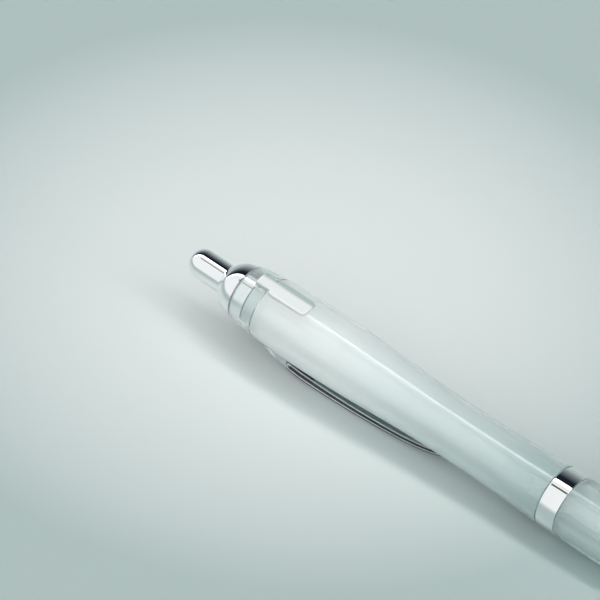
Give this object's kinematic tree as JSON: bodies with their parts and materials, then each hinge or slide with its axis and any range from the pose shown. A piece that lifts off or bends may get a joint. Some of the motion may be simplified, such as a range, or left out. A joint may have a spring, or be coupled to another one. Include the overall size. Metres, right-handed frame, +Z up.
{
  "type": "ballpoint pen",
  "caption": "Push-button ballpoint pen with a clear curved barrel, arched pocket clip, bare label pad, chrome button, collar, centre ring and nose, and a sprung refill that clicks out.",
  "frame": {"origin": "middle of the pen's outline, on the ground it rests on with clip and grip", "axes": "+X towards the nib, +Z up through the label pad, the pen's own axis 3 degrees below +X"},
  "size_m": [0.142, 0.0132, 0.018],
  "materials": {
    "chrome": "bright chrome plating",
    "clear_plastic": "clear recycled plastic with a slight milky haze, glossy, label pad satin",
    "milky_plastic": "translucent natural plastic",
    "white_plastic": "moulded white plastic",
    "ink": "dark ink",
    "nickel": "nickel-silver, turned",
    "steel": "bright steel"
  },
  "bodies": {
    "upper_body": {"upper_barrel": "clear_plastic", "clip": "clear_plastic", "top_collar": "chrome", "cam_guide": "milky_plastic"},
    "button": {"push_button": "chrome", "thrust_cam": "white_plastic"},
    "rotor": {"rotor": "white_plastic"},
    "refill": {"refill_tube": "white_plastic", "ink_column": "ink", "tip_holder": "white_plastic", "nib": "nickel"},
    "ball": {"nib_ball": "steel"},
    "ring": {"centre_ring": "chrome"},
    "front": {"lower_barrel": "clear_plastic", "nose_cone": "chrome", "return_spring": "steel"}
  },
  "joints": [
    {"name": "button_press", "type": "slide", "parent": "upper_body", "child": "button", "axis": [0.9987, 0, -0.0516], "range_m": [0, 0.006], "stiffness_N_per_m": 120, "springref_m": -0.003},
    {"name": "rotor_slide", "type": "slide", "parent": "upper_body", "child": "rotor", "axis": [0.9987, 0, -0.0516], "range_m": [0, 0.006]},
    {"name": "refill_slide", "type": "slide", "parent": "upper_body", "child": "refill", "axis": [0.9987, 0, -0.0516], "range_m": [0, 0.006], "deforming": ["return_spring"]},
    {"name": "ball_roll", "type": "hinge", "parent": "refill", "child": "ball", "pos_m": [0.0683, 0, 0.0048], "axis": [0, 1, 0], "continuous": true},
    {"name": "ring_slide", "type": "slide", "parent": "upper_body", "child": "ring", "axis": [0.9987, 0, -0.0516], "range_m": [0, 0.0083]},
    {"name": "front_unscrew", "type": "hinge", "parent": "ring", "child": "front", "pos_m": [0.01966, 0, 0.00732], "axis": [0.9987, 0, -0.0516], "range_deg": [0, 1980]}
  ],
  "couplings": [
    {"joint": "rotor_slide", "follows": "button_press", "ratio": 1},
    {"joint": "refill_slide", "follows": "button_press", "ratio": 1},
    {"joint": "ring_slide", "follows": "front_unscrew", "m_per_rad": 0.00023873}
  ]
}
